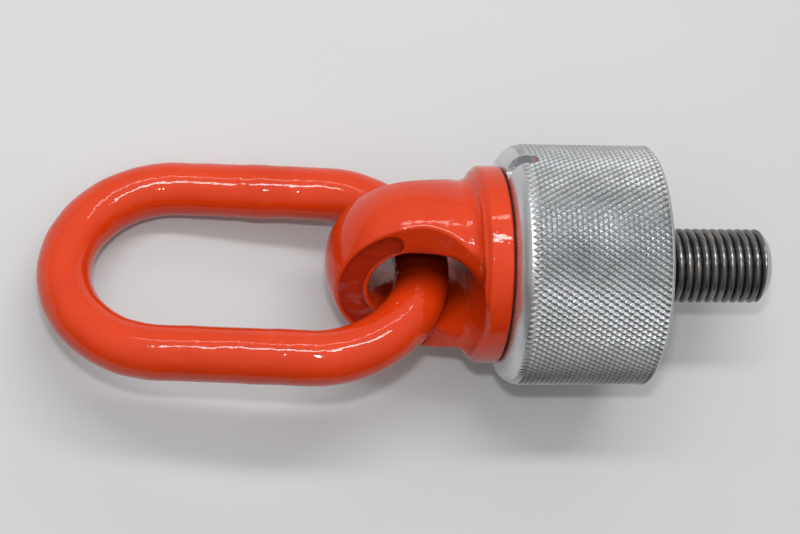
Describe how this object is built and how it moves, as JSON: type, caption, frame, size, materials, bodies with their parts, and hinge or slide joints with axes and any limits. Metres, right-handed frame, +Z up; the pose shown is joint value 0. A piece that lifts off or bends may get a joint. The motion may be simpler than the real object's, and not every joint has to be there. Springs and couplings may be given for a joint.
{
  "type": "swivel lifting ring",
  "caption": "Swivel lifting ring: an oblong link in a forged eye that turns on a ball bearing inside a knurled housing with a threaded stud.",
  "frame": {"origin": "on the plane the ring lies on, below the centre of its bounding box", "axes": "+X along the swivel axis towards the stud's tip, +Y across, +Z up from the plane"},
  "size_m": [0.2911, 0.0969, 0.096],
  "materials": {
    "orange_coat": "glossy orange powder coat over forged steel, slight orange peel",
    "zinc_plate": "satin zinc plating, diamond knurl on the housing",
    "dark_phosphate": "oiled dark phosphate on a rolled thread",
    "bearing_steel": "ground and greased bearing steel",
    "bronze": "machined bearing bronze",
    "black_seal": "matt black rubber"
  },
  "bodies": {
    "housing_body": {"housing": "zinc_plate", "flange_seal": "black_seal", "shank_bush": "bronze", "thrust_race_upper": "bearing_steel", "base_plug": "zinc_plate", "threaded_stud": "dark_phosphate", "stud_lock_pin": "bearing_steel", "plug_screw_1": "dark_phosphate", "plug_screw_2": "dark_phosphate"},
    "eye_body": {"swivel_eye": "orange_coat", "thrust_race_lower": "bearing_steel", "retaining_nut": "bearing_steel", "nut_lock_pin": "bearing_steel"},
    "cage_body": {"ball_cage": "bronze", "bearing_ball_01": "bearing_steel", "bearing_ball_02": "bearing_steel", "bearing_ball_03": "bearing_steel", "bearing_ball_04": "bearing_steel", "bearing_ball_05": "bearing_steel", "bearing_ball_06": "bearing_steel", "bearing_ball_07": "bearing_steel", "bearing_ball_08": "bearing_steel", "bearing_ball_09": "bearing_steel", "bearing_ball_10": "bearing_steel", "bearing_ball_11": "bearing_steel", "bearing_ball_12": "bearing_steel"},
    "link_body": {"oval_link": "orange_coat"}
  },
  "joints": [
    {"name": "eye_swivel", "type": "hinge", "parent": "housing_body", "child": "eye_body", "pos_m": [0.0574, 0, 0.048], "axis": [1, 0, 0], "continuous": true},
    {"name": "cage_spin", "type": "hinge", "parent": "housing_body", "child": "cage_body", "pos_m": [0.0574, 0, 0.048], "axis": [1, 0, 0], "continuous": true},
    {"name": "link_tilt", "type": "hinge", "parent": "eye_body", "child": "link_body", "pos_m": [0.00531, -0.00093, 0.04701], "axis": [0, -0.7254, 0.6884], "range_deg": [-98, 82]}
  ],
  "couplings": [
    {"joint": "cage_spin", "follows": "eye_swivel", "ratio": 0.5}
  ]
}
